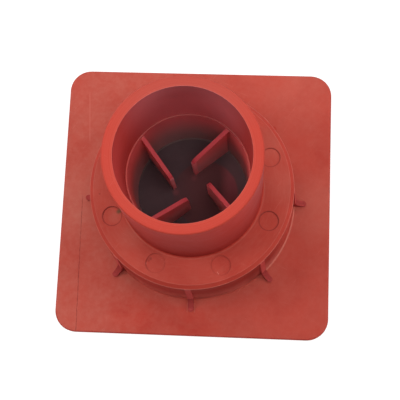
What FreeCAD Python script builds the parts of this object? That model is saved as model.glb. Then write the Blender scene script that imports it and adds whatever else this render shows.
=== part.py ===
import FreeCAD, Part
import os
import re

import Sketcher

# Rebar safety cap with a square impact plate, moulded in one piece round a steel disc.
# Millimetres. The plate lies flat at Z = 0 and the sleeve points up along +Z.

doc = FreeCAD.newDocument("RebarSafetyCap")
sheet = doc.addObject("Spreadsheet::Sheet", "Sizes")

driving_sizes = {
    # square impact plate
    "plate_side": 101.6,
    "plate_thick": 3.0,
    "plate_corner": 8.0,
    "plate_edge": 0.6,
    # drum that houses the disc
    "drum_height": 29.0,
    "drum_radius": 36.25,
    "drum_spread": 0.75,
    "drum_chamfer": 1.4,
    "drum_fillet": 0.8,
    # sleeve that goes over the bar
    "overall_height": 76.2,
    "sleeve_radius": 25.0,
    "sleeve_fillet": 0.8,
    "rim_edge": 0.35,
    "mouth_radius": 21.55,
    "mouth_land": 10.0,
    "mouth_taper": 0.75,
    "ledge_height": 48.5,
    "ledge_width": 0.4,
    "bore_taper": 0.8,
    # steel disc at the foot of the bore
    "disc_radius": 31.75,
    "disc_thick": 3.2,
    "disc_cover": 6.8,
    "disc_clearance": 0.05,
    "disc_edge": 0.3,
    # ribs round the foot of the drum
    "gusset_count": 8,
    "gusset_thick": 2.1,
    "gusset_reach": 4.9,
    "gusset_foot": 0.7,
    "gusset_proud": 0.6,
    "gusset_lip": 0.1,
    "gusset_rise": 5.2,
    # thin fins that grip the bar, set like a pinwheel, with tops that fall towards the axis
    "fin_count": 4,
    "fin_thick": 1.4,
    "fin_angle": 39.0,
    "fin_offset": 4.5,
    "fin_start": 4.3,
    "fin_step": 0.5,
    "fin_drop": 9.5,
    "fin_corner": 4.0,
    # shallow round marks that the ejector pins leave on the drum
    "pin_count": 8,
    "pin_radius": 3.4,
    "pin_circle": 29.8,
    "pin_depth": 0.3,
}

# sizes that follow from the ones above
derived_sizes = {
    "drum_foot": "=drum_radius + drum_spread",
    "drum_shoulder": "=drum_height - drum_chamfer",
    "disc_top": "=drum_height - disc_cover",
    "disc_bottom": "=disc_top - disc_thick",
    "pocket_radius": "=disc_radius + disc_clearance",
    "mouth_foot": "=overall_height - mouth_land",
    "throat_radius": "=mouth_radius - mouth_taper",
    "ledge_radius": "=throat_radius - ledge_width",
    "seat_radius": "=ledge_radius - bore_taper",
    "rib_radius": "=drum_foot + gusset_proud",
    "rib_root": "=drum_radius - drum_chamfer",
    "rib_tip": "=drum_foot + gusset_reach",
    "foot_top": "=plate_thick + gusset_foot",
    "foot_end": "=rib_tip - gusset_thick / 2",
    "gusset_run": "=foot_end - rib_radius",
    "gusset_curve": "=(gusset_run ^ 2 + gusset_rise ^ 2) / (2 * gusset_run)",
    "fin_tip": "=ledge_height - fin_drop",
}

for row, (alias, content) in enumerate({**driving_sizes, **derived_sizes}.items(), start=1):
    sheet.set(f"A{row}", alias)
    sheet.set(f"B{row}", str(content))
    sheet.setAlias(f"B{row}", alias)
doc.recompute()

tolerance = 1e-4
left, right = 1, -1
# numbers of a curve's points
start_point, end_point, centre_point = range(1, 4)
# pivots of a plane: across it, along its normal, and up it, along its second axis
across = FreeCAD.Vector(0, 0, 1)
up = FreeCAD.Vector(0, 1, 0)


def from_sheet(formula):
    """The formula with each size's name pointed at the sheet."""
    return re.sub(r"[a-z]\w*", lambda name: f"{sheet.Name}.{name.group()}", formula)


def value_of(formula):
    return float(sheet.evalExpression(from_sheet(formula)))


def drive(feature, **formulas):
    """Binds properties of a feature to the sheet."""
    for name, formula in formulas.items():
        feature.setExpression(name, from_sheet(formula))


def origin_feature(body, role):
    return next(item for item in body.Origin.OriginFeatures if item.Role == role)


def attach(feature, support, lift=None, turn=None, pivot=across):
    """Lays a sketch or plane on a support, turned about a pivot and raised along the support's normal."""
    feature.AttachmentSupport = [(support, "")]
    feature.MapMode = "FlatFace"
    if turn:
        turned = FreeCAD.Rotation(pivot, value_of(turn))
        feature.AttachmentOffset = FreeCAD.Placement(FreeCAD.Vector(), turned)
        feature.setExpression("AttachmentOffset.Rotation.Angle", from_sheet(turn))
    if lift:
        feature.setExpression("AttachmentOffset.Base.z", from_sheet(lift))


def add_sketch(body, name, plane, **placing):
    sketch = body.newObject("Sketcher::SketchObject", name)
    attach(sketch, origin_feature(body, plane), **placing)
    return sketch


def bind(sketch, kind, places, formula):
    """Adds a dimension to the sketch and drives it from the sheet."""
    index = sketch.addConstraint(Sketcher.Constraint(kind, *places, value_of(formula)))
    sketch.setExpression(f"Constraints[{index}]", from_sheet(formula))


def place_point(sketch, side, end, corner):
    """Holds a point at driven coordinates, or on an axis where one is zero."""
    origin = (-1, 1)
    axes = {"DistanceX": -2, "DistanceY": -1}
    for (kind, axis), formula in zip(axes.items(), corner):
        if formula == "0":
            sketch.addConstraint(Sketcher.Constraint("PointOnObject", side, end, axis))
        else:
            bind(sketch, kind, (*origin, side, end), formula)


def middle_of_arc(start, end, radius, turn):
    """The point half way along an arc of less than a half turn, bulging left (1) or right (-1)."""
    along = end - start
    leftwards = FreeCAD.Vector(-along.y, along.x, 0).normalize()
    half_chord = along.Length / 2
    sagitta = radius - max(radius ** 2 - half_chord ** 2, 0) ** 0.5
    return (start + end) * 0.5 + leftwards * sagitta * turn


def add_outline(sketch, corners, arcs=None):
    """A closed outline through driven corners.

    arcs lists the round sides by number. Each has its radius, the way it bulges, and the
    number of the side whose end is a smooth join: its own, or that of the side before it.
    """
    arcs = arcs or {}
    points = [FreeCAD.Vector(value_of(x), value_of(y), 0) for x, y in corners]
    sides = []
    starts = []
    ends = []
    for number, start in enumerate(points):
        end = points[(number + 1) % len(points)]
        curve = Part.LineSegment(start, end)
        if number in arcs:
            radius, turn, _ = arcs[number]
            curve = Part.Arc(start, middle_of_arc(start, end, value_of(radius), turn), end)
        side = sketch.addGeometry(curve)
        first, last = start_point, end_point
        if not sketch.getPoint(side, first).isEqual(start, tolerance):
            first, last = last, first
        sides.append(side)
        starts.append(first)
        ends.append(last)
    smooth_ends = {smooth_end for _, _, smooth_end in arcs.values()}
    for number, side in enumerate(sides):
        following = (number + 1) % len(sides)
        join = "Tangent" if number in smooth_ends else "Coincident"
        places = (side, ends[number], sides[following], starts[following])
        sketch.addConstraint(Sketcher.Constraint(join, *places))
        place_point(sketch, side, starts[number], corners[number])


def add_circle(sketch, centre, radius):
    x, y = map(value_of, centre)
    circle = Part.Circle(FreeCAD.Vector(x, y, 0), across, value_of(radius))
    side = sketch.addGeometry(circle)
    place_point(sketch, side, centre_point, centre)
    bind(sketch, "Radius", (side,), radius)


def add_feature(body, kind, name, sketch):
    feature = body.newObject(f"PartDesign::{kind}", name)
    feature.Profile = sketch
    return feature


def add_polar_pattern(body, name, originals, count):
    pattern = body.newObject("PartDesign::PolarPattern", name)
    pattern.Originals = originals
    pattern.Axis = (origin_feature(body, "Z_Axis"), [""])
    pattern.Angle = 360
    drive(pattern, Occurrences=count)
    body.Tip = pattern
    doc.recompute()
    return pattern


def dress(body, kind, name, base, chosen, formula):
    """A Fillet or Chamfer on those edges of the base that the test picks."""
    edges = [f"Edge{number}" for number, edge in enumerate(base.Shape.Edges, start=1) if chosen(edge)]
    if not edges:
        raise RuntimeError(f"{name} found no edge")
    feature = body.newObject(f"PartDesign::{kind}", name)
    feature.Base = (base, edges)
    drive(feature, **{"Radius" if kind == "Fillet" else "Size": formula})
    doc.recompute()
    return feature


def same(first, second):
    return abs(first - second) < tolerance


def at_height(edge, height):
    return all(same(vertex.Z, height) for vertex in edge.Vertexes)


def upright(edge):
    return same(abs(edge.Vertexes[0].Z - edge.Vertexes[-1].Z), edge.Length)


def circle_at(edge, radius, height):
    """True for a whole circle round the Z axis of this radius, at this height."""
    if not isinstance(edge.Curve, Part.Circle) or not at_height(edge, value_of(height)):
        return False
    centred = same(edge.Curve.Center.x, 0) and same(edge.Curve.Center.y, 0)
    return centred and same(edge.Curve.Radius, value_of(radius))


def add_plate(body):
    sketch = add_sketch(body, "PlateOutline", "XY_Plane")
    half = "plate_side / 2"
    add_outline(sketch, [(f"-{half}", f"-{half}"), (half, f"-{half}"), (half, half), (f"-{half}", half)])
    plate = add_feature(body, "Pad", "Plate", sketch)
    drive(plate, Length="plate_thick")
    doc.recompute()
    corners = dress(body, "Fillet", "PlateCorners", plate, upright, "plate_corner")
    thickness = value_of("plate_thick")
    upper = dress(
        body, "Fillet", "PlateUpperEdge", corners, lambda edge: at_height(edge, thickness), "plate_edge",
    )
    return dress(body, "Chamfer", "PlateLowerEdge", upper, lambda edge: at_height(edge, 0), "plate_edge")


def add_housing(body):
    """Drum, sleeve, stepped bore and disc pocket, turned from one half section."""
    sketch = add_sketch(body, "HousingSection", "XZ_Plane")
    add_outline(sketch, [
        ("0", "plate_thick / 2"),
        ("drum_foot", "plate_thick / 2"),
        ("drum_foot", "plate_thick"),
        ("drum_radius", "drum_shoulder"),
        ("drum_radius - drum_chamfer", "drum_height"),
        ("sleeve_radius", "drum_height"),
        ("sleeve_radius", "overall_height"),
        ("mouth_radius", "overall_height"),
        ("mouth_radius", "mouth_foot"),
        ("throat_radius", "ledge_height"),
        ("ledge_radius", "ledge_height"),
        ("seat_radius", "disc_top"),
        ("pocket_radius", "disc_top"),
        ("pocket_radius", "disc_bottom"),
        ("0", "disc_bottom"),
    ])
    housing = add_feature(body, "Revolution", "Housing", sketch)
    housing.ReferenceAxis = (sketch, ["V_Axis"])
    housing.Angle = 360
    doc.recompute()
    foot = dress(
        body, "Fillet", "DrumFoot", housing,
        lambda edge: circle_at(edge, "drum_foot", "plate_thick"), "drum_fillet",
    )
    root = dress(
        body, "Fillet", "SleeveRoot", foot,
        lambda edge: circle_at(edge, "sleeve_radius", "drum_height"), "sleeve_fillet",
    )
    return dress(
        body, "Chamfer", "RimEdge", root,
        lambda edge: circle_at(edge, "sleeve_radius", "overall_height"), "rim_edge",
    )


def add_gussets(body):
    """A low round-ended foot and a hollow-curved web, repeated round the drum."""
    foot_sketch = add_sketch(body, "GussetFootOutline", "XY_Plane")
    half = "gusset_thick / 2"
    foot_corners = [
        ("rib_root", f"-{half}"),
        ("foot_end", f"-{half}"),
        ("foot_end", half),
        ("rib_root", half),
    ]
    add_outline(foot_sketch, foot_corners, arcs={1: (half, right, 0)})
    foot = add_feature(body, "Pad", "GussetFoot", foot_sketch)
    drive(foot, Length="foot_top")

    web_sketch = add_sketch(body, "GussetWebSection", "XZ_Plane")
    web_corners = [
        ("rib_root", "plate_thick"),
        ("foot_end", "plate_thick"),
        ("foot_end", "foot_top"),
        ("rib_radius", "foot_top + gusset_rise"),
        ("drum_radius + gusset_lip", "drum_shoulder"),
        ("rib_root", "drum_shoulder"),
    ]
    add_outline(web_sketch, web_corners, arcs={2: ("gusset_curve", left, 2)})
    web = add_feature(body, "Pad", "GussetWeb", web_sketch)
    web.SideType = "Symmetric"
    drive(web, Length="gusset_thick")
    doc.recompute()
    return add_polar_pattern(body, "Gussets", [foot, web], "gusset_count")


def add_fins(body):
    """Fins from the disc up to the ledge, each set off the axis, with a round upper corner."""
    plane = body.newObject("PartDesign::Plane", "FinPlane")
    attach(plane, origin_feature(body, "XZ_Plane"), turn="fin_angle", pivot=up)
    sketch = body.newObject("Sketcher::SketchObject", "FinSection")
    attach(sketch, plane, lift="-fin_offset")
    add_outline(sketch, [
        ("fin_start", "disc_top"),
        ("mouth_radius", "disc_top"),
        ("mouth_radius", "ledge_height - fin_step"),
        ("fin_start", "fin_tip"),
    ])
    fin = add_feature(body, "Pad", "Fin", sketch)
    fin.SideType = "Symmetric"
    drive(fin, Length="fin_thick")
    doc.recompute()
    fins = add_polar_pattern(body, "Fins", [fin], "fin_count")
    tip_distance = (value_of("fin_start") ** 2 + value_of("fin_offset") ** 2) ** 0.5

    def top_of_tip(edge):
        middle = edge.CenterOfMass
        distance = (middle.x ** 2 + middle.y ** 2) ** 0.5
        return at_height(edge, value_of("fin_tip")) and same(distance, tip_distance)

    return dress(body, "Fillet", "FinCorners", fins, top_of_tip, "fin_corner")


def add_pin_marks(body):
    """Shallow round marks on top of the drum, half way between the gussets."""
    sketch = add_sketch(body, "PinMarkOutline", "XY_Plane", lift="drum_height", turn="180 / pin_count")
    add_circle(sketch, ("pin_circle", "0"), "pin_radius")
    mark = add_feature(body, "Pocket", "PinMark", sketch)
    drive(mark, Length="pin_depth")
    doc.recompute()
    return add_polar_pattern(body, "PinMarks", [mark], "pin_count")


def make_cap_body():
    body = doc.addObject("PartDesign::Body", "CapBody")
    body.Label = "cap_body"
    add_plate(body)
    add_housing(body)
    add_gussets(body)
    add_fins(body)
    before = body.Shape.Volume
    add_pin_marks(body)
    if not body.Shape.Volume < before:
        raise RuntimeError("the pin marks cut nothing")
    return body


def make_steel_disc():
    body = doc.addObject("PartDesign::Body", "SteelDisc")
    body.Label = "steel_disc"
    sketch = add_sketch(body, "DiscOutline", "XY_Plane", lift="disc_bottom")
    add_circle(sketch, ("0", "0"), "disc_radius")
    disc = add_feature(body, "Pad", "Disc", sketch)
    drive(disc, Length="disc_thick")
    doc.recompute()
    dress(body, "Chamfer", "DiscEdge", disc, lambda edge: len(edge.Vertexes) == 1, "disc_edge")
    return body


def check_document():
    for item in doc.Objects:
        if {"Invalid", "Error"} & set(item.State):
            raise RuntimeError(f"{item.Name} failed: {item.State}")


def export(body):
    shape = body.Shape
    if shape.isNull() or not shape.isValid() or len(shape.Solids) != 1:
        raise RuntimeError(f"{body.Label} has no sound solid")
    shape.exportStep(os.path.join("parts", f"{body.Label}.step"))
    print(body.Label, "volume", round(shape.Volume), "mm3")


bodies = [make_cap_body(), make_steel_disc()]
doc.recompute()
check_document()
os.makedirs("parts", exist_ok=True)
for finished in bodies:
    export(finished)
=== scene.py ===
import math
from types import SimpleNamespace

import bpy
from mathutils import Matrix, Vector

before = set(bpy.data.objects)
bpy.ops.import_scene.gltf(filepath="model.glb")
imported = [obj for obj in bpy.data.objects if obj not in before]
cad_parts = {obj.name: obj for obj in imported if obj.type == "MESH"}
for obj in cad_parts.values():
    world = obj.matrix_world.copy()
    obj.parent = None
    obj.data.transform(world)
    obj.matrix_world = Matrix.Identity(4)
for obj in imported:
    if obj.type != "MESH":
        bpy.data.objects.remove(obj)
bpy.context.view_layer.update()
scene = bpy.context.scene
mm = 0.001
pureWhite = (1.0, 1.0, 1.0, 1.0)
onPlan = (1.0, 1.0, 0.0)  # keeps a place's X and Y and drops its Z
print("frame loaded")


def newTree(owner):
    owner.use_nodes = True
    owner.node_tree.nodes.clear()
    return owner.node_tree


def add(tree, kind, props=None, **inputs):
    node = tree.nodes.new(kind)
    for name, value in (props or {}).items():
        setattr(node, name, value)
    for name, value in inputs.items():
        plug(tree, node, name.replace("_", " "), value)
    return node


def plug(tree, node, name, value):  # i0, i1 and so on are inputs by number
    numbered = name[:1] == "i" and name[1:].isdigit()
    socket = node.inputs[int(name[1:])] if numbered else node.inputs[name]
    if isinstance(value, bpy.types.NodeSocket):
        tree.links.new(value, socket)
    else:
        socket.default_value = value


def maths(tree, operation, first, second=0.0, third=0.0, clamp=False):
    props = {"operation": operation, "use_clamp": clamp}
    return add(tree, "ShaderNodeMath", props, i0=first, i1=second, i2=third).outputs[0]


def chain(tree, operation, values):
    result = values[0]
    for value in values[1:]:
        result = maths(tree, operation, result, value)
    return result


def product(tree, *values):
    return chain(tree, "MULTIPLY", values)


def total(tree, *values):
    return chain(tree, "ADD", values)


def greatest(tree, *values):
    return chain(tree, "MAXIMUM", values)


def apart(tree, first, second=0.0):  # how far two values are from each other
    return maths(tree, "ABSOLUTE", maths(tree, "SUBTRACT", first, second))


def slope(tree, across, along):  # the long side over two square sides
    squares = maths(tree, "MULTIPLY_ADD", along, along, product(tree, across, across))
    return maths(tree, "SQRT", squares)


def ramp(tree, value, low, high, start=0.0, end=1.0):  # smooth step; low may be the greater level
    props = {"interpolation_type": "SMOOTHSTEP"}
    levels = {"From_Min": low, "From_Max": high, "To_Min": start, "To_Max": end}
    return add(tree, "ShaderNodeMapRange", props, Value=value, **levels).outputs["Result"]


def between(tree, value, low, high, soft):  # 1 inside a span of levels, with soft ends
    rise = ramp(tree, value, low - soft, low + soft)
    fall = ramp(tree, value, high + soft, high - soft)
    return product(tree, rise, fall)


def mixColours(tree, share, first, second):
    node = add(tree, "ShaderNodeMix", {"data_type": "RGBA"}, i0=share, i6=first, i7=second)
    return node.outputs[2]


def noise(tree, place, scale, detail=2.0, roughness=0.5, distortion=0.0):
    inputs = {"Scale": scale, "Detail": detail, "Roughness": roughness, "Distortion": distortion}
    return add(tree, "ShaderNodeTexNoise", None, Vector=place, **inputs).outputs["Fac"]


def vectorMaths(tree, operation, first, second):
    return add(tree, "ShaderNodeVectorMath", {"operation": operation}, i0=first, i1=second).outputs


def stretch(tree, place, scale, turn=0.0):  # turns a place about Z, then scales it axis by axis
    props = {"rotation_type": "Z_AXIS"}
    turned = add(tree, "ShaderNodeVectorRotate", props, Vector=place, Angle=math.radians(turn))
    return vectorMaths(tree, "MULTIPLY", turned.outputs[0], scale)["Vector"]


def newGroup(name, inputs, outputs):
    group = bpy.data.node_groups.new(name, "ShaderNodeTree")
    for label, kind in inputs.items():
        group.interface.new_socket(label, in_out="INPUT", socket_type=kind)
    for label, kind in outputs.items():
        group.interface.new_socket(label, in_out="OUTPUT", socket_type=kind)
    given = group.nodes.new("NodeGroupInput").outputs
    return group, given, group.nodes.new("NodeGroupOutput")


def useGroup(tree, group, **inputs):
    return add(tree, "ShaderNodeGroup", {"node_tree": group}, **inputs).outputs


number, vector, colour = "NodeSocketFloat", "NodeSocketVector", "NodeSocketColor"


# where a point is on the part, in millimetres, and how far its face looks up
def makePartPlace():
    outputs = {"Place": vector, "Radius": number, "Up": number}
    group, _, result = newGroup("partPlace", {}, outputs)
    metres = add(group, "ShaderNodeTexCoord").outputs["Object"]
    toMillimetres = (1 / mm, 1 / mm, 1 / mm)
    place = vectorMaths(group, "MULTIPLY", metres, toMillimetres)["Vector"]
    flat = stretch(group, place, onPlan)
    radius = add(group, "ShaderNodeVectorMath", {"operation": "LENGTH"}, i0=flat).outputs["Value"]
    normal = add(group, "ShaderNodeNewGeometry").outputs["Normal"]
    up = add(group, "ShaderNodeSeparateXYZ", None, Vector=normal).outputs["Z"]
    for label, value in {"Place": place, "Radius": radius, "Up": up}.items():
        plug(group, result, label, value)
    return group


# detail, roughness and distortion of the noise, and the levels where a mark starts and is full
grainForm = {
    "patchNoise": (4.0, 0.62, 0.6),
    "patchLevels": (0.36, 0.66),
    "grainNoise": (3.0, 0.6),
    "speckLevels": (0.62, 0.74),
}


# cloudy patches, small specks and a fine pitted height
def makeSurfaceGrain():
    inputs = {"Place": vector, "Patch Scale": number, "Grain Scale": number}
    outputs = {"Patches": number, "Specks": number, "Height": number}
    group, given, result = newGroup("surfaceGrain", inputs, outputs)
    broad = noise(group, given["Place"], given["Patch Scale"], *grainForm["patchNoise"])
    grain = noise(group, given["Place"], given["Grain Scale"], *grainForm["grainNoise"])
    plug(group, result, "Patches", ramp(group, broad, *grainForm["patchLevels"]))
    plug(group, result, "Specks", ramp(group, grain, *grainForm["speckLevels"]))
    plug(group, result, "Height", grain)
    return group


dustForm = {"dulling": 0.22}  # roughness that a full layer adds


# a pale film over a colour, which also dulls it
def makeSettledDust():
    inputs = {"Color": colour, "Dust Color": colour, "Roughness": number, "Share": number}
    group, given, result = newGroup("settledDust", inputs, {"Color": colour, "Roughness": number})
    dusted = mixColours(group, given["Share"], given["Color"], given["Dust Color"])
    dull = maths(
        group, "MULTIPLY_ADD", given["Share"], dustForm["dulling"], given["Roughness"], clamp=True,
    )
    plug(group, result, "Color", dusted)
    plug(group, result, "Roughness", dull)
    return group


scratchForm = {
    # turn about Z in degrees, and how the noise is stretched
    "directions": (
        (24.0, (0.16, 3.4, 0.3)),
        (-57.0, (0.13, 2.8, 0.3)),
    ),
    "noise": (1.0, 3.0, 0.55, 0.25),
    "levels": (0.66, 0.76),
}


# short hair lines in two directions
def makeFineScratches():
    inputs = {"Place": vector, "Amount": number}
    group, given, result = newGroup("fineScratches", inputs, {"Mask": number})
    masks = []
    for turn, scale in scratchForm["directions"]:
        streak = noise(group, stretch(group, given["Place"], scale, turn), *scratchForm["noise"])
        masks.append(ramp(group, streak, *scratchForm["levels"]))
    plug(group, result, "Mask", product(group, greatest(group, *masks), given["Amount"]))
    return group


partPlace = makePartPlace()
surfaceGrain = makeSurfaceGrain()
settledDust = makeSettledDust()
fineScratches = makeFineScratches()
print("shared effects made")


# camera at the photograph's angle: millimetres and degrees
viewer = {
    "place": (21.741, -68.769, 350.298),
    "turn": (11.378, 2.832, 2.33),
    "lens": 84.033,
    "sensor": 36.0,
    "clipStart": 0.01,
}


def makeCamera():
    data = bpy.data.cameras.new("photoCamera")
    data.lens = viewer["lens"]
    data.sensor_width = viewer["sensor"]
    data.clip_start = viewer["clipStart"]
    camera = bpy.data.objects.new("photoCamera", data)
    camera.location = Vector(viewer["place"]) * mm
    camera.rotation_euler = [math.radians(angle) for angle in viewer["turn"]]
    scene.collection.objects.link(camera)
    scene.camera = camera


# soft lamps round the part by their angle from overhead and their compass angle
studio = {
    "lampDistance": 0.55,
    "lampSize": 0.3,
    "lampAim": (0.0, 0.0, 0.03),
    "lampColour": (1.0, 0.99, 0.98),
    "lamps": {
        "overheadLamp": {"tilt": 20.0, "compass": 318.0, "watts": 0.60},
        "frontLeftLamp": {"tilt": 18.0, "compass": 240.0, "watts": 0.42},
        "overRightLamp": {"tilt": 20.0, "compass": 15.0, "watts": 0.48},
        "leftLamp": {"tilt": 44.0, "compass": 180.0, "watts": 1.22},
        "backLeftLamp": {"tilt": 45.0, "compass": 120.0, "watts": 1.00},
        "backRightLamp": {"tilt": 45.0, "compass": 60.0, "watts": 0.55},
        "rightLamp": {"tilt": 62.0, "compass": 0.0, "watts": 1.00},
    },
    "ambientStrength": 0.02,
    "backdropStrength": 1.0,
    "floorSize": 6.0,
    "floorColour": (0.9, 0.9, 0.9, 1.0),
    "floorGlow": 0.7,
    "floorGlowStrength": 1.25,
}


# 1 for what the camera sees, also in metal and through glass
def seenDirectly(tree):
    path = add(tree, "ShaderNodeLightPath").outputs
    return greatest(tree, path["Is Camera Ray"], path["Is Glossy Ray"], path["Is Transmission Ray"])


def makeWorld():
    world = bpy.data.worlds.new("studioRoom")
    scene.world = world
    tree = newTree(world)
    ambient = add(
        tree, "ShaderNodeBackground", Color=pureWhite, Strength=studio["ambientStrength"],
    ).outputs[0]
    backdrop = add(
        tree, "ShaderNodeBackground", Color=pureWhite, Strength=studio["backdropStrength"],
    ).outputs[0]
    mixed = add(tree, "ShaderNodeMixShader", i0=seenDirectly(tree), i1=ambient, i2=backdrop)
    add(tree, "ShaderNodeOutputWorld", Surface=mixed.outputs[0])


def hangLamps():
    for name, lamp in studio["lamps"].items():
        data = bpy.data.lights.new(name, "AREA")
        data.shape = "DISK"
        data.size = studio["lampSize"]
        data.energy = lamp["watts"]
        data.color = studio["lampColour"]
        tilt, compass = math.radians(lamp["tilt"]), math.radians(lamp["compass"])
        sideways = math.sin(tilt)
        outward = Vector((
            sideways * math.cos(compass), sideways * math.sin(compass), math.cos(tilt),
        ))
        holder = bpy.data.objects.new(name, data)
        holder.location = outward * studio["lampDistance"] + Vector(studio["lampAim"])
        holder.rotation_euler = outward.to_track_quat("Z", "Y").to_euler()
        scene.collection.objects.link(holder)


# the camera sees the floor lifted to white, with the part's own shadow kept faint
def layFloor():
    half = studio["floorSize"] / 2
    corners = [(-half, -half, 0), (half, -half, 0), (half, half, 0), (-half, half, 0)]
    mesh = bpy.data.meshes.new("paleFloor")
    mesh.from_pydata(corners, [], [(0, 1, 2, 3)])
    floor = bpy.data.objects.new("paleFloor", mesh)
    scene.collection.objects.link(floor)
    material = bpy.data.materials.new("paleFloor")
    tree = newTree(material)
    paper = add(tree, "ShaderNodeBsdfDiffuse", Color=studio["floorColour"]).outputs[0]
    glow = add(
        tree, "ShaderNodeEmission", Color=pureWhite, Strength=studio["floorGlowStrength"],
    ).outputs[0]
    share = product(tree, seenDirectly(tree), studio["floorGlow"])
    mixed = add(tree, "ShaderNodeMixShader", i0=share, i1=paper, i2=glow)
    add(tree, "ShaderNodeOutputMaterial", Surface=mixed.outputs[0])
    mesh.materials.append(material)


makeCamera()
makeWorld()
hangLamps()
layFloor()
print("camera, light and floor set")


# a point's place, its parts, its distance from the axis and how far its face looks up
def readPlace(tree):
    found = useGroup(tree, partPlace)
    parts = add(tree, "ShaderNodeSeparateXYZ", None, Vector=found["Place"]).outputs
    spot = SimpleNamespace(place=found["Place"], radius=found["Radius"], up=found["Up"])
    spot.x, spot.y, spot.z = parts["X"], parts["Y"], parts["Z"]
    return spot


# shares of a mark's width or reach that are at full strength
markCore = {"ring": 0.25, "patch": 0.15}


# line round a ring of a given radius and height
def ringLine(tree, spot, ring):
    ringRadius, ringHeight, width, strength = ring
    across = maths(tree, "SUBTRACT", spot.radius, ringRadius)
    along = maths(tree, "SUBTRACT", spot.z, ringHeight)
    core = width * markCore["ring"]
    return ramp(tree, slope(tree, across, along), width, core, 0.0, strength)


# soft round patches on plan, added together
def softPatches(tree, spot, marks):
    flat = stretch(tree, spot.place, onPlan)
    patches = []
    for markX, markY, reach, strength in marks:
        away = vectorMaths(tree, "DISTANCE", flat, (markX, markY, 0.0))["Value"]
        core = reach * markCore["patch"]
        patches.append(ramp(tree, away, reach, core, 0.0, strength))
    return total(tree, 0.0, *patches)


# place across and outward on the nearest of several like features round the axis
def foldRound(tree, spot, count, shift):
    step = 2 * math.pi / count
    angle = maths(tree, "ADD", maths(tree, "ARCTAN2", spot.y, spot.x), shift * step)
    offset = maths(tree, "SUBTRACT", maths(tree, "FLOORED_MODULO", angle, step), step / 2)
    across = product(tree, spot.radius, maths(tree, "SINE", offset))
    outward = product(tree, spot.radius, maths(tree, "COSINE", offset))
    return across, outward


# In the dictionaries below, heights, radii and spans are the levels in millimetres at which a
# mask starts and is full. Three levels are the low end, the high end and the softness of both.
# Four are two levels and the shares there.
plastic = {
    "deepRed": (0.412, 0.043, 0.0295, 1.0),
    "brightRed": (0.452, 0.052, 0.0355, 1.0),
    "roughness": 0.5,
    "patchRoughness": 0.08,
    "specular": 0.05,
    "patchScale": 0.06,
    "grainScale": 2.2,
    "cloudNoise": (0.11, 4.0, 0.6, 0.2),
    "mottleNoise": (0.55, 3.0, 0.6),
    "scratchAmount": 1.0,
    "scratchHeight": -0.25,
    "bumpStrength": 0.22,
    "bumpDistance": 0.00012,
    "flatLevels": (0.72, 0.97),
    "plateHeights": (3.4, 3.1),
    "drumTopHeights": (28.0, 28.5),
    "drumTopRadii": (25.15, 25.45),
}

ribs = {
    "count": 8,
    "shift": 0.5,  # in steps from one rib to the next
    "halfWidth": (1.1, 1.04),
    "radii": (36.2, 36.3),
    # the ribs' clean toes, darkened with painted shade
    "toe": (0.35, 0.045, 0.042, 1.0),
    "toeHeights": (3.2, 9.5, 0.15),
    "toeSpan": (24.0, 14.0),
    "frontToe": (0.365, 0.046, 0.043, 1.0),
    "frontToeSide": (10.0, 5.0),
    "frontToeSpan": (-30.0, -36.0),
    # a painted highlight on the rib faces, palest near the foot
    "faceFoot": (0.54, 0.080, 0.072, 1.0),
    "faceTop": (0.46, 0.052, 0.047, 1.0),
    "faceSpan": (8.0, 22.0),
    "faceHeights": (6.0, 9.0),
}


# places and masks that the stages of the red plastic share
def surveyBody(tree):
    spot = readPlace(tree)
    scales = {"Patch_Scale": plastic["patchScale"], "Grain_Scale": plastic["grainScale"]}
    spot.grain = useGroup(tree, surfaceGrain, Place=spot.place, **scales)
    amount = plastic["scratchAmount"]
    spot.scratches = useGroup(tree, fineScratches, Place=spot.place, Amount=amount)["Mask"]
    spot.cloud = noise(tree, spot.place, *plastic["cloudNoise"])
    spot.mottle = noise(tree, spot.place, *plastic["mottleNoise"])

    spot.flat = ramp(tree, spot.up, *plastic["flatLevels"])
    spot.onPlate = ramp(tree, spot.z, *plastic["plateHeights"])
    drumHeight = ramp(tree, spot.z, *plastic["drumTopHeights"])
    outsideSleeve = ramp(tree, spot.radius, *plastic["drumTopRadii"])
    spot.onDrum = product(tree, spot.flat, drumHeight, outsideSleeve)
    spot.sideways = apart(tree, spot.x)

    across, _ = foldRound(tree, spot, ribs["count"], ribs["shift"])
    spot.besideRib = apart(tree, across)
    withinRib = ramp(tree, spot.besideRib, *ribs["halfWidth"])
    spot.onRib = product(tree, withinRib, ramp(tree, spot.radius, *ribs["radii"]))
    inMiddle = ramp(tree, spot.sideways, *ribs["frontToeSide"])
    spot.frontToe = product(tree, inMiddle, ramp(tree, spot.y, *ribs["frontToeSpan"]))
    return spot


drum = {
    "wallRadii": (36.1, 37.7, 0.1),
    "wallHeights": (3.3, 27.4, 0.2),
    "frontSpan": (-12.0, -24.0),
    "sideSpan": (-15.0, 8.0),
    # painted shade at the top of the front wall and painted light towards its foot, both lighter on
    # the left than on the right
    "shadedTopLeft": (0.355, 0.0295, 0.0215, 1.0),
    "shadedTopRight": (0.28, 0.0245, 0.018, 1.0),
    "litFootLeft": (0.56, 0.108, 0.083, 1.0),
    "litFootRight": (0.50, 0.105, 0.082, 1.0),
    "footSpan": (19.0, 4.5),
    "shade": (0.19, 0.018, 0.013, 1.0),
    # X, Y, reach and strength of shaded patches beside two ribs
    "shades": (
        (22.6, -28.9, 4.5, 0.50),
        (-21.4, -29.4, 3.5, 0.35),
    ),
}
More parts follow.
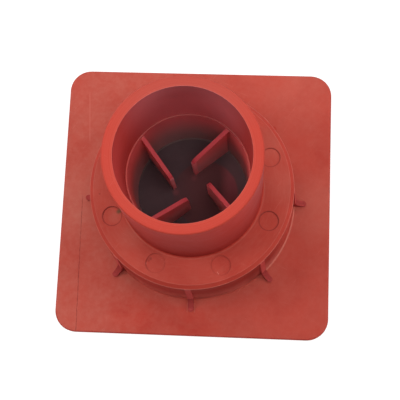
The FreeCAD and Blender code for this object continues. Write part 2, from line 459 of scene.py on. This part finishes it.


# drum wall with painted shade under the shoulder and painted light towards the foot, lighter on the
# left, and ribs with a painted highlight on their faces and clean toes darkened with painted shade
def paintDrum(tree, spot, red):
    # the front wall takes painted shade and painted light, with painted shade patches beside two
    # ribs
    aroundWall = between(tree, spot.radius, *drum["wallRadii"])
    onWall = product(tree, aroundWall, between(tree, spot.z, *drum["wallHeights"]))
    side = ramp(tree, spot.x, *drum["sideSpan"])
    top = mixColours(tree, side, drum["shadedTopLeft"], drum["shadedTopRight"])
    foot = mixColours(tree, side, drum["litFootLeft"], drum["litFootRight"])
    wall = mixColours(tree, ramp(tree, spot.z, *drum["footSpan"]), top, foot)
    wall = mixColours(tree, softPatches(tree, spot, drum["shades"]), wall, drum["shade"])
    onFront = product(tree, onWall, ramp(tree, spot.y, *drum["frontSpan"]))
    red = mixColours(tree, onFront, red, wall)

    # painted shade on the rib toes and a painted highlight on the rib faces
    toeHeight = between(tree, spot.z, *ribs["toeHeights"])
    onToe = product(tree, spot.onRib, toeHeight, ramp(tree, spot.y, *ribs["toeSpan"]))
    toe = mixColours(tree, spot.frontToe, ribs["toe"], ribs["frontToe"])
    red = mixColours(tree, onToe, red, toe)
    face = mixColours(
        tree, ramp(tree, spot.z, *ribs["faceSpan"]), ribs["faceFoot"], ribs["faceTop"],
    )
    onFace = product(tree, spot.onRib, onWall, ramp(tree, spot.z, *ribs["faceHeights"]))
    return mixColours(tree, onFace, red, face)


sleeve = {
    "radii": (24.9, 25.3, 0.05),
    "heights": (29.0, 30.0),
    # painted shade on the sleeve wall and painted light near the rim at the front
    "red": (0.335, 0.0275, 0.0222, 1.0),
    "bright": (0.465, 0.0385, 0.0295, 1.0),
    "litHeights": (34.0, 74.0),
    "litSpan": (-6.0, -18.0),
    "rimRed": (0.465, 0.048, 0.032, 1.0),
    "rimBack": (0.42, 0.060, 0.0435, 1.0),
    "rimBackSpan": (6.0, 22.0),
    "rimHeights": (75.6, 76.0),
}


# sleeve darkened with painted shade and brightened with painted light towards the rim at the front,
# and its rim
def paintSleeve(tree, spot, red):
    aroundTube = between(tree, spot.radius, *sleeve["radii"])
    onTube = product(tree, aroundTube, ramp(tree, spot.z, *sleeve["heights"]))
    nearRim = ramp(tree, spot.z, *sleeve["litHeights"])
    litFrontTop = product(tree, nearRim, ramp(tree, spot.y, *sleeve["litSpan"]))
    tube = mixColours(tree, litFrontTop, sleeve["red"], sleeve["bright"])
    red = mixColours(tree, onTube, red, tube)
    atBack = ramp(tree, spot.y, *sleeve["rimBackSpan"])
    rim = mixColours(tree, atBack, sleeve["rimRed"], sleeve["rimBack"])
    return mixColours(tree, ramp(tree, spot.z, *sleeve["rimHeights"]), red, rim)


bore = {
    "radii": (21.61, 21.55),
    "heights": (18.0, 20.0),
    # painted light and shade on the bore wall: paler deep down to lift the shade, lighter under the
    # ledge at the sides, darker on the right, and a darker band along the ledge at the back
    "side": (0.515, 0.060, 0.054, 1.0),
    "right": (0.445, 0.053, 0.047, 1.0),
    "rightSpan": (2.0, 16.0),
    "back": (0.605, 0.160, 0.175, 1.0),
    "backSpan": (7.0, 22.0),
    "deepSide": (0.42, 0.180, 0.180, 1.0),
    "deepBack": (0.37, 0.205, 0.205, 1.0),
    "deepHeights": (48.0, 25.0),
    "underLedge": (0.80, 0.150, 0.145, 1.0),
    "underLedgeHeights": (30.0, 46.0),
    "underLedgeEnd": (48.6, 48.4),
    "underLedgeSide": (10.0, 17.5),
    "shadedLedgeBack": (0.34, 0.072, 0.082, 1.0),
    "ledgeBackHeights": (48.3, 48.7, 0.1),
    "ledgeBackSpan": (6.0, 16.0),
}

fins = {
    "radii": (19.3, 19.1),
    # painted light on the fin faces, paler deep down, and on their inner ends, and a painted
    # highlight along their tops
    "face": (0.74, 0.200, 0.210, 1.0),
    "faceDeep": (0.70, 0.310, 0.320, 1.0),
    "deepHeights": (44.0, 26.0),
    "end": (0.88, 0.320, 0.350, 1.0),
    "endRadii": (6.9, 6.7),
    "top": (0.58, 0.080, 0.098, 1.0),
    "topLevels": (0.1, 0.5),
    "topRadii": (20.3, 19.9),
    "topHeights": (24.0, 25.0),
}


# painted light inside the bore, paler deep down and under the ledge, with painted shade on the
# right and along the ledge at the back, and fins with painted light on their faces and ends and a
# painted highlight along their tops
def paintBore(tree, spot, red):
    # the bore wall takes painted light and painted shade
    insideRadius = ramp(tree, spot.radius, *bore["radii"])
    inBore = product(tree, insideRadius, ramp(tree, spot.z, *bore["heights"]))
    depth = ramp(tree, spot.z, *bore["deepHeights"])
    toRight = ramp(tree, spot.x, *bore["rightSpan"])
    side = mixColours(tree, toRight, bore["side"], bore["right"])
    side = mixColours(tree, depth, side, bore["deepSide"])
    rising = ramp(tree, spot.z, *bore["underLedgeHeights"])
    ending = ramp(tree, spot.z, *bore["underLedgeEnd"])
    atSides = ramp(tree, spot.sideways, *bore["underLedgeSide"])
    side = mixColours(tree, product(tree, rising, ending, atSides), side, bore["underLedge"])
    back = mixColours(tree, depth, bore["back"], bore["deepBack"])
    wall = mixColours(tree, ramp(tree, spot.y, *bore["backSpan"]), side, back)
    ledgeHeight = between(tree, spot.z, *bore["ledgeBackHeights"])
    onLedge = product(tree, ledgeHeight, ramp(tree, spot.y, *bore["ledgeBackSpan"]))
    wall = mixColours(tree, onLedge, wall, bore["shadedLedgeBack"])
    red = mixColours(tree, inBore, red, wall)

    # painted light on the fins and a painted highlight on their tops
    deepDown = ramp(tree, spot.z, *fins["deepHeights"])
    fin = mixColours(tree, deepDown, fins["face"], fins["faceDeep"])
    fin = mixColours(tree, ramp(tree, spot.radius, *fins["endRadii"]), fin, fins["end"])
    onFin = product(tree, inBore, ramp(tree, spot.radius, *fins["radii"]))
    red = mixColours(tree, onFin, red, fin)
    lookingUp = ramp(tree, spot.up, *fins["topLevels"])
    clearOfWall = ramp(tree, spot.radius, *fins["topRadii"])
    aboveDisc = ramp(tree, spot.z, *fins["topHeights"])
    onTop = product(tree, inBore, lookingUp, clearOfWall, aboveDisc)
    return mixColours(tree, onTop, red, fins["top"])


dustAndFootLight = {
    "colour": (0.50, 0.155, 0.115, 1.0),
    # least share of dust, and what the clouds and the mottle add
    "least": 0.13,
    "cloudShare": 0.20,
    "cloudLevels": (0.25, 0.75),
    "mottleShare": 0.12,
    "mottleLevels": (0.35, 0.7),
    "leftSpan": (30.0, -48.0, 0.60, 1.25),
    "plateShares": (0.45, 0.55),  # share above the plate, and what the plate adds
    "rimHeights": (60.0, 70.0, 1.0, 0.25),
    # X, Y, reach and strength of patches with more or less dust
    "patches": (
        (-46.0, 0.0, 18.0, 0.25),
        (46.0, 0.0, 18.0, 0.22),
        (38.0, 42.0, 20.0, 0.15),
        (31.0, 2.0, 10.0, 0.18),
        (27.0, 16.0, 10.0, 0.20),
        (0.0, -47.0, 15.0, -0.13),
        (-20.0, -45.0, 16.0, -0.14),
        (-20.5, -18.5, 6.5, 0.18),
        (-26.5, -11.5, 3.6, 0.22),
    ),
    "patchHeights": (60.0, 50.0),
    # spread of noise along the radius and round the part, and its strength
    "ringScuffs": (1.3, 7.0, 0.08),
    "ringScuffHeights": (28.0, 30.0, 0.3),
    "flowMarks": (0.03, 4.0, 0.06),
    "streakNoise": (1.0, 3.0, 0.6),
    "streakLevels": (0.4, 0.7),
    # a band of painted light round the front of the drum's foot, laid on as pale film
    "footLightShare": 0.08,
    "footRadii": (36.4, 40.5, 0.8),
    "footHeights": (7.0, 3.2),
    "footSpan": (-10.0, -22.0),
    "ribHeights": (3.05, 3.2),
}


# streaks along the radius or round the part
def polarStreaks(tree, spot, streaks):
    alongScale, roundScale, strength = streaks
    angle = maths(tree, "ARCTAN2", spot.y, spot.x)
    aside = product(tree, maths(tree, "SINE", angle), roundScale)
    ahead = product(tree, maths(tree, "COSINE", angle), roundScale)
    along = product(tree, spot.radius, alongScale)
    place = add(tree, "ShaderNodeCombineXYZ", None, X=aside, Y=ahead, Z=along).outputs[0]
    streak = noise(tree, place, *dustAndFootLight["streakNoise"])
    return ramp(tree, streak, *dustAndFootLight["streakLevels"], 0.0, strength)


# share of dust on the flat faces, thickest to the left of the plate, with none on the ribs, plus a
# band of painted light round the front of the drum's foot
def dustAndFootLightShare(tree, spot):
    clouds = ramp(tree, spot.cloud, *dustAndFootLight["cloudLevels"])
    mottle = ramp(tree, spot.mottle, *dustAndFootLight["mottleLevels"])
    film = maths(tree, "MULTIPLY_ADD", clouds, dustAndFootLight["cloudShare"], dustAndFootLight["least"])
    film = maths(tree, "MULTIPLY_ADD", mottle, dustAndFootLight["mottleShare"], film)
    abovePlate, plateMore = dustAndFootLight["plateShares"]
    plateShare = maths(tree, "MULTIPLY_ADD", spot.onPlate, plateMore, abovePlate)
    leftShare = ramp(tree, spot.x, *dustAndFootLight["leftSpan"])
    rimShare = ramp(tree, spot.z, *dustAndFootLight["rimHeights"])
    film = product(tree, film, leftShare, spot.flat, plateShare, rimShare)

    belowRim = ramp(tree, spot.z, *dustAndFootLight["patchHeights"])
    patches = product(tree, softPatches(tree, spot, dustAndFootLight["patches"]), spot.flat, belowRim)
    scuffHeight = between(tree, spot.z, *dustAndFootLight["ringScuffHeights"])
    scuffs = polarStreaks(tree, spot, dustAndFootLight["ringScuffs"])
    scuffs = product(tree, scuffs, spot.flat, scuffHeight)
    flow = polarStreaks(tree, spot, dustAndFootLight["flowMarks"])
    flow = product(tree, flow, spot.onPlate, spot.flat)
    # painted light at the front of the drum's foot
    roundFoot = between(tree, spot.radius, *dustAndFootLight["footRadii"])
    lowDown = ramp(tree, spot.z, *dustAndFootLight["footHeights"])
    inFront = ramp(tree, spot.y, *dustAndFootLight["footSpan"])
    foot = product(tree, roundFoot, lowDown, inFront, dustAndFootLight["footLightShare"])
    film = total(tree, film, patches, scuffs, flow, foot)
    cleanRib = product(tree, spot.onRib, ramp(tree, spot.z, *dustAndFootLight["ribHeights"]))
    return maths(tree, "SUBTRACT", film, cleanRib, clamp=True)


wearAndHighlights = {
    "pale": (0.62, 0.200, 0.155, 1.0),
    # radius, height, width and strength of each pale ring along an edge: edge wear at the rim,
    # painted highlights at the ledge and the sleeve's root, and at the drum's shoulder partly wear
    # and partly painted highlight
    "rings": (
        (36.20, 27.60, 0.32, 0.55),
        (34.85, 29.00, 0.22, 0.25),
        (25.00, 76.15, 0.30, 0.35),
        (21.60, 76.10, 0.28, 0.25),
        (20.55, 48.50, 0.50, 0.32),
        (25.75, 29.00, 0.30, 0.18),
    ),
    "ringShares": (0.2, 1.2),  # least share of a ring, and what the clouds add
    "hairShare": 0.25,
    # X, Y, reach and strength of pale scuffs on the drum
    "scuffs": (
        (10.3, -30.0, 0.35, 0.7),
        (10.6, -30.5, 0.35, 0.8),
        (-14.6, -27.7, 0.6, 0.25),
    ),
    # a painted highlight on the fillet at the drum's foot, on the right side only
    "footHighlight": (37.45, 3.35, 0.55, 0.85),
    "footHighlightSide": (23.0, 28.0),
    "footHighlightSpan": (1.0, -3.0),
    # X and Y of the ends of a pale streak on the plate
    "streakStart": (-43.1, 41.8),
    "streakEnd": (-41.9, 22.8),
    "streakWidth": 0.4,
    "streakStrength": 0.25,
    "streakSoft": 1.5,
    "rimNoise": (2.6, 3.0),
    "rimLevels": (0.45, 0.7, 0.0, 0.12),
    "rimRadii": (21.85, 24.65, 0.2),
    "rimHeights": (75.9, 76.1),
    # painted highlights on the fillets beside the front rib toes
    "toeGap": (1.2, 1.5, 0.2),
    "toeRadii": (38.6, 42.2, 0.3),
    "toeHighlightShare": 0.30,
}


# pale straight streak on the plate
def streakLine(tree, spot):
    (startX, startY), (endX, endY) = wearAndHighlights["streakStart"], wearAndHighlights["streakEnd"]
    lean = (endX - startX) / (endY - startY)
    middle = maths(tree, "MULTIPLY_ADD", spot.y, lean, startX - lean * startY)
    aside = apart(tree, spot.x, middle)
    line = ramp(tree, aside, wearAndHighlights["streakWidth"], 0.0, 0.0, wearAndHighlights["streakStrength"])
    length = between(tree, spot.y, endY, startY, wearAndHighlights["streakSoft"])
    return product(tree, line, length, spot.onPlate, spot.flat)


# fine turned rings round the rim
def rimLines(tree, spot):
    place = add(tree, "ShaderNodeCombineXYZ", None, X=spot.radius).outputs[0]
    lines = ramp(tree, noise(tree, place, *wearAndHighlights["rimNoise"]), *wearAndHighlights["rimLevels"])
    onRim = between(tree, spot.radius, *wearAndHighlights["rimRadii"])
    return product(tree, lines, onRim, ramp(tree, spot.z, *wearAndHighlights["rimHeights"]))


# share of pale wear and painted highlights: edges, hair lines, scuffs, the foot fillet, the fillets
# beside the toes and the like
def paleWearAndHighlights(tree, spot):
    # pale rings along edges, some of them painted highlights
    rings = greatest(tree, *[ringLine(tree, spot, ring) for ring in wearAndHighlights["rings"]])
    least, cloudMore = wearAndHighlights["ringShares"]
    uneven = maths(tree, "MULTIPLY_ADD", spot.cloud, cloudMore, least, clamp=True)
    rings = product(tree, rings, uneven)
    hairs = product(tree, spot.scratches, spot.flat, wearAndHighlights["hairShare"])
    scuffs = product(tree, softPatches(tree, spot, wearAndHighlights["scuffs"]), spot.onDrum)
    # painted highlight on the foot fillet
    footSide = ramp(tree, spot.x, *wearAndHighlights["footHighlightSide"])
    footFront = ramp(tree, spot.y, *wearAndHighlights["footHighlightSpan"])
    foot = product(tree, ringLine(tree, spot, wearAndHighlights["footHighlight"]), footSide, footFront)
    # painted highlights beside the front rib toes
    besideToe = between(tree, spot.besideRib, *wearAndHighlights["toeGap"])
    alongToe = between(tree, spot.radius, *wearAndHighlights["toeRadii"])
    toe = product(tree, besideToe, alongToe, spot.frontToe, spot.onPlate, wearAndHighlights["toeHighlightShare"])
    streak = streakLine(tree, spot)
    return greatest(tree, rings, hairs, scuffs, foot, streak, rimLines(tree, spot), toe)


dirtMarks = {
    "colour": (0.16, 0.024, 0.022, 1.0),
    "speckShare": 0.12,
    "pinCount": 8,
    "pinShift": 0.0,
    "pinCircle": 29.8,
    "pinRadius": 3.4,
    "pinLine": (0.28, 0.084),
    "pinSideways": (9.0, 24.0, 0.15, 0.60),
    "pinSpan": (-2.0, 6.0, 1.0, 0.7),
    "pinClouds": (0.3, 0.55, 0.6, 1.0),
    # a thin wavy line along the left of the plate, with breaks
    "witnessPlace": -43.24,
    "witnessLean": -0.014,
    "witnessWave": 0.5,
    "witnessNoise": (0.5, 2.0),
    "witnessLine": (0.2, 0.08),
    "witnessSpan": (4.0, -3.0),
    "breakNoise": (0.8, 3.0),
    "breakLevels": (0.35, 0.6, 0.25, 0.6),
    # X, Y, reach and strength of nicks and of greenish smudges on the drum
    "nicks": (
        (-13.2, -26.0, 0.8, 0.60),
        (-13.9, -26.7, 0.7, 0.50),
        (-32.4, -3.6, 0.5, 0.5),
    ),
    "smudge": (0.075, 0.070, 0.035, 1.0),
    "smudges": (
        (-25.3, -9.7, 1.3, 0.75),
    ),
}


# thin outline that each ejector pin leaves
def pinOutlines(tree, spot):
    across, outward = foldRound(tree, spot, dirtMarks["pinCount"], dirtMarks["pinShift"])
    outward = maths(tree, "SUBTRACT", outward, dirtMarks["pinCircle"])
    gap = apart(tree, slope(tree, across, outward), dirtMarks["pinRadius"])
    line = ramp(tree, gap, *dirtMarks["pinLine"])
    sideShare = ramp(tree, spot.sideways, *dirtMarks["pinSideways"])
    backShare = ramp(tree, spot.y, *dirtMarks["pinSpan"])
    uneven = ramp(tree, spot.cloud, *dirtMarks["pinClouds"])
    return product(tree, line, spot.onDrum, sideShare, uneven, backShare)


def witnessLine(tree, spot):
    wander = noise(tree, spot.place, *dirtMarks["witnessNoise"])
    wave = dirtMarks["witnessWave"]
    middle = maths(tree, "MULTIPLY_ADD", wander, wave, dirtMarks["witnessPlace"] - wave / 2)
    middle = maths(tree, "MULTIPLY_ADD", spot.y, dirtMarks["witnessLean"], middle)
    line = ramp(tree, apart(tree, spot.x, middle), *dirtMarks["witnessLine"])
    breaks = noise(tree, spot.place, *dirtMarks["breakNoise"])
    broken = ramp(tree, breaks, *dirtMarks["breakLevels"])
    length = ramp(tree, spot.y, *dirtMarks["witnessSpan"])
    return product(tree, line, broken, length, spot.onPlate, spot.flat)


# dirt in the pin outlines, along the witness line, in the specks and in the nicks
def addDirt(tree, spot, clean):
    specks = product(tree, spot.grain["Specks"], spot.flat, dirtMarks["speckShare"])
    nicks = product(tree, softPatches(tree, spot, dirtMarks["nicks"]), spot.onDrum)
    dirt = greatest(tree, pinOutlines(tree, spot), witnessLine(tree, spot), specks, nicks)
    dirty = mixColours(tree, dirt, clean, dirtMarks["colour"])
    smudges = product(tree, softPatches(tree, spot, dirtMarks["smudges"]), spot.onDrum)
    return mixColours(tree, smudges, dirty, dirtMarks["smudge"])


def redPlastic():
    material = bpy.data.materials.new("redPlastic")
    tree = newTree(material)
    spot = surveyBody(tree)
    red = mixColours(tree, spot.grain["Patches"], plastic["deepRed"], plastic["brightRed"])
    red = paintDrum(tree, spot, red)
    red = paintSleeve(tree, spot, red)
    red = paintBore(tree, spot, red)
    # the dust share also carries the painted light at the drum's foot
    dusty = useGroup(
        tree, settledDust, Color=red, Dust_Color=dustAndFootLight["colour"],
        Roughness=plastic["roughness"], Share=dustAndFootLightShare(tree, spot),
    )
    # pale wear together with painted highlights
    wornAndHighlit = mixColours(tree, paleWearAndHighlights(tree, spot), dusty["Color"], wearAndHighlights["pale"])
    finished = addDirt(tree, spot, wornAndHighlit)

    height = maths(
        tree, "MULTIPLY_ADD", spot.scratches, plastic["scratchHeight"], spot.grain["Height"],
    )
    bump = add(
        tree, "ShaderNodeBump", None,
        Strength=plastic["bumpStrength"], Distance=plastic["bumpDistance"], Height=height,
    )
    rough = maths(
        tree, "MULTIPLY_ADD", spot.grain["Patches"], plastic["patchRoughness"], dusty["Roughness"],
    )
    shader = add(
        tree, "ShaderNodeBsdfPrincipled", None, Base_Color=finished, Roughness=rough,
        Normal=bump.outputs[0], Specular_IOR_Level=plastic["specular"],
    )
    add(tree, "ShaderNodeOutputMaterial", None, Surface=shader.outputs[0])
    return material


steel = {
    "dull": (0.056, 0.0275, 0.034, 1.0),
    "bright": (0.066, 0.034, 0.041, 1.0),
    # painted light: paler grey towards the right of the disc
    "litGreyRight": (0.132, 0.070, 0.078, 1.0),
    "litGreySpan": (8.0, 15.0),
    "roughness": 0.5,
    "metallic": 0.3,
    "specular": 0.2,
    "patchScale": 0.12,
    "grainScale": 1.6,
    "scratchAmount": 0.8,
    "scratchShare": 0.4,
    "bumpStrength": 0.2,
    "bumpDistance": 0.0001,
    "dust": (0.10, 0.075, 0.07, 1.0),
    "dustLevels": (0.8, 1.0, 0.0, 0.12),
    # a reddish patch with a ragged edge, weaker to the left, and brightened with painted light to
    # the right
    "reddish": (0.105, 0.015, 0.019, 1.0),
    "reddishLit": (0.36, 0.074, 0.093, 1.0),
    "reddishLitSpan": (9.0, 13.5),
    "reddishCentre": (4.6, -1.0, 0.0),
    "reddishReach": (12.3, 11.1, 0.0, 0.75),
    "reddishNoise": (0.14, 3.0),
    "reddishRagged": 0.8,
    "reddishSpan": (-9.0, 2.0, 0.35, 1.0),
    "crimsonPatch": (0.20, 0.036, 0.046, 1.0),
    # X, Y, reach and strength of crimson patches below two fins
    "crimsonPatches": (
        (-5.9, -0.7, 1.7, 0.55),
        (0.4, 4.7, 1.7, 0.55),
    ),
    # radius, height, width and strength of a painted highlight along the disc's edge at the back
    "edgeHighlight": (0.17, 0.105, 0.095, 1.0),
    "edgeRing": (19.35, 22.2, 0.45, 0.55),
    "edgeSpan": (2.0, 9.0),
}


# share of the reddish patch, with a ragged edge
def reddishPatch(tree, spot):
    flat = stretch(tree, spot.place, onPlan)
    away = vectorMaths(tree, "DISTANCE", flat, steel["reddishCentre"])["Value"]
    ragged = steel["reddishRagged"]
    inward = maths(tree, "SUBTRACT", away, ragged / 2)
    wander = noise(tree, spot.place, *steel["reddishNoise"])
    edge = maths(tree, "MULTIPLY_ADD", wander, ragged, inward)
    reddish = ramp(tree, edge, *steel["reddishReach"])
    return product(tree, reddish, ramp(tree, spot.x, *steel["reddishSpan"]))


def discSteel():
    material = bpy.data.materials.new("discSteel")
    tree = newTree(material)
    spot = readPlace(tree)
    scales = {"Patch_Scale": steel["patchScale"], "Grain_Scale": steel["grainScale"]}
    grain = useGroup(tree, surfaceGrain, Place=spot.place, **scales)
    amount = steel["scratchAmount"]
    scratches = useGroup(tree, fineScratches, Place=spot.place, Amount=amount)["Mask"]
    sheet = mixColours(tree, grain["Patches"], steel["dull"], steel["bright"])
    sheet = mixColours(tree, product(tree, scratches, steel["scratchShare"]), sheet, steel["dust"])
    # painted light towards the right of the disc
    sheet = mixColours(tree, ramp(tree, spot.x, *steel["litGreySpan"]), sheet, steel["litGreyRight"])

    reddish = reddishPatch(tree, spot)
    # painted light brightens the reddish patch to the right
    toRight = ramp(tree, spot.x, *steel["reddishLitSpan"])
    reddishColour = mixColours(tree, toRight, steel["reddish"], steel["reddishLit"])
    sheet = mixColours(tree, reddish, sheet, reddishColour)
    sheet = mixColours(tree, softPatches(tree, spot, steel["crimsonPatches"]), sheet, steel["crimsonPatch"])
    # painted highlight along the disc's edge at the back
    atBack = ramp(tree, spot.y, *steel["edgeSpan"])
    edge = product(tree, ringLine(tree, spot, steel["edgeRing"]), atBack)
    sheet = mixColours(tree, edge, sheet, steel["edgeHighlight"])
    dusty = useGroup(
        tree, settledDust, Color=sheet, Dust_Color=steel["dust"],
        Roughness=steel["roughness"], Share=ramp(tree, spot.up, *steel["dustLevels"]),
    )

    bump = add(
        tree, "ShaderNodeBump", None,
        Strength=steel["bumpStrength"], Distance=steel["bumpDistance"], Height=grain["Height"],
    )
    metal = maths(tree, "MULTIPLY_ADD", reddish, -steel["metallic"], steel["metallic"])
    shader = add(
        tree, "ShaderNodeBsdfPrincipled", None,
        Base_Color=dusty["Color"], Roughness=dusty["Roughness"], Metallic=metal,
        Normal=bump.outputs[0], Specular_IOR_Level=steel["specular"],
    )
    add(tree, "ShaderNodeOutputMaterial", None, Surface=shader.outputs[0])
    return material


for node, material in {"cap_body": redPlastic(), "steel_disc": discSteel()}.items():
    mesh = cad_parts[node].data
    mesh.materials.clear()
    mesh.materials.append(material)
print("red plastic and disc steel given")

scene.view_settings.view_transform = "Standard"
